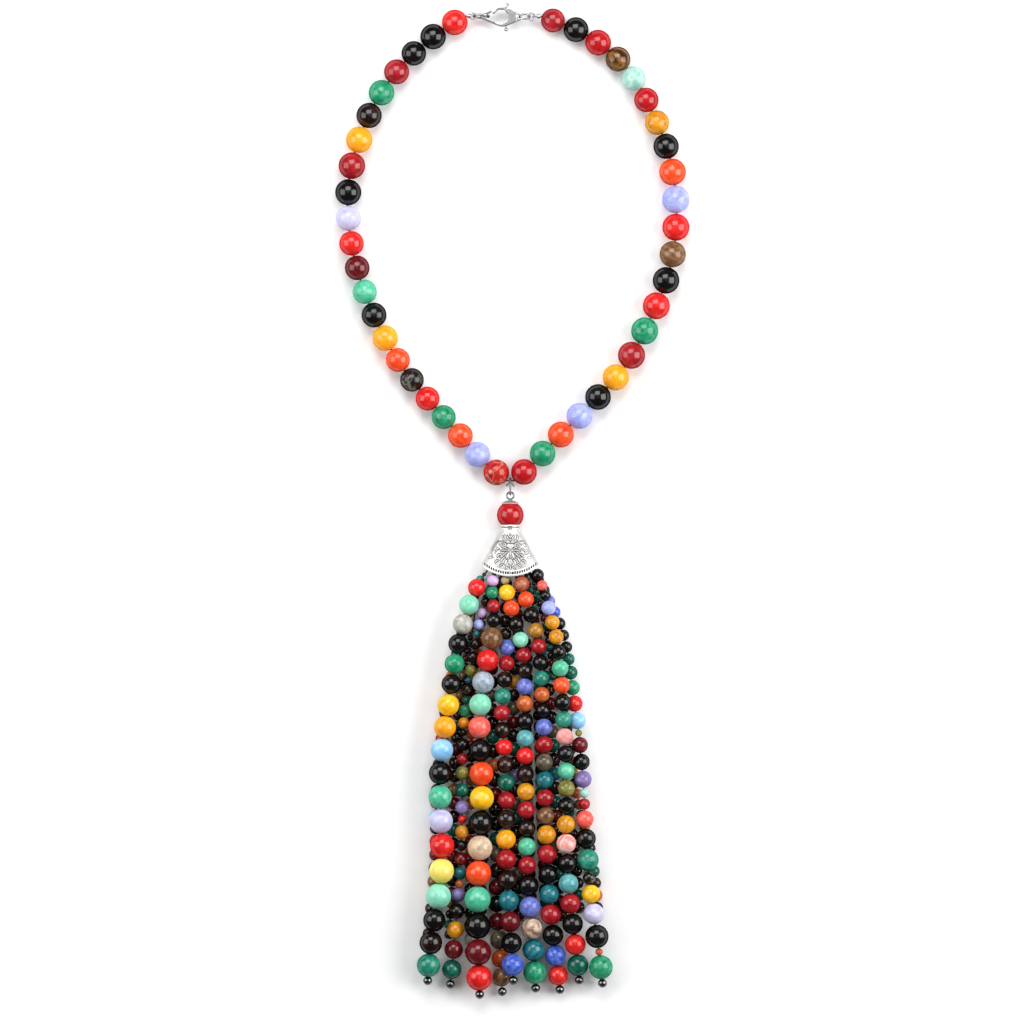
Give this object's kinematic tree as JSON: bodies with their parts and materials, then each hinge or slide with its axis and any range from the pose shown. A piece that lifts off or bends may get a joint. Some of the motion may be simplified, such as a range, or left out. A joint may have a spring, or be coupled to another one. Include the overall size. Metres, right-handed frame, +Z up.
{
  "type": "necklace",
  "caption": "Beaded necklace laid flat: a long loop of round polished stone beads with a lobster clasp, and a pendant with a fan-shaped metal cap and a long tassel of bead strands",
  "frame": {"origin": "the middle of the whole necklace's box, on the table that it lies on", "axes": "+Y along the necklace from the tassel's end to the clasp, +X across to the right as seen from above with the clasp at the top, +Z up off the table"},
  "size_m": [0.1364, 0.3833, 0.0162],
  "materials": {
    "stone": "polished",
    "bright_metal": "polished",
    "antique_metal": "antique, dark in the recesses",
    "dark_metal": "dark polished",
    "thread": "matt"
  },
  "bodies": {
    "necklace": {"clasp_body": "bright_metal", "hook_ring": "bright_metal", "left_crimp": "bright_metal", "tail_ring": "bright_metal", "right_end_ring": "bright_metal", "right_crimp": "bright_metal", "string_left": "stone", "string_right": "stone", "string_thread": "thread", "bail": "bright_metal", "eye_pin": "bright_metal", "bead_cap": "antique_metal", "pendant_bead": "stone", "fan_cap": "antique_metal", "strand_1_beads": "stone", "strand_1_thread": "thread", "strand_1_end": "dark_metal", "strand_2_string": "stone", "strand_2_end": "dark_metal", "strand_3_beads": "stone", "strand_3_thread": "thread", "strand_3_end": "dark_metal", "strand_4_string": "stone", "strand_4_end": "dark_metal", "strand_5_beads": "stone", "strand_5_thread": "thread", "strand_5_end": "dark_metal", "strand_6_beads": "stone", "strand_6_thread": "thread", "strand_6_end": "dark_metal", "strand_7_beads": "stone", "strand_7_thread": "thread", "strand_7_end": "dark_metal", "strand_8_beads": "stone", "strand_8_thread": "thread", "strand_8_end": "dark_metal", "strand_9_beads": "stone", "strand_9_thread": "thread", "strand_9_end": "dark_metal", "under_strand_1_string": "stone", "under_strand_2_string": "stone", "under_strand_3_string": "stone", "under_strand_4_string": "stone", "under_strand_5_string": "stone", "under_strand_6_string": "stone", "under_strand_7_string": "stone", "under_strand_8_string": "stone", "under_strand_9_string": "stone", "under_strand_10_string": "stone", "under_strand_11_string": "stone"},
    "lever": {"clasp_lever": "bright_metal"}
  },
  "joints": [
    {"name": "lever_hinge", "type": "hinge", "parent": "necklace", "child": "lever", "pos_m": [-0.00118, 0.18834, 0.005], "axis": [0, 0, 1], "range_deg": [0, 18], "stiffness_Nm_per_rad": 0.004, "springref_deg": -17.19}
  ]
}
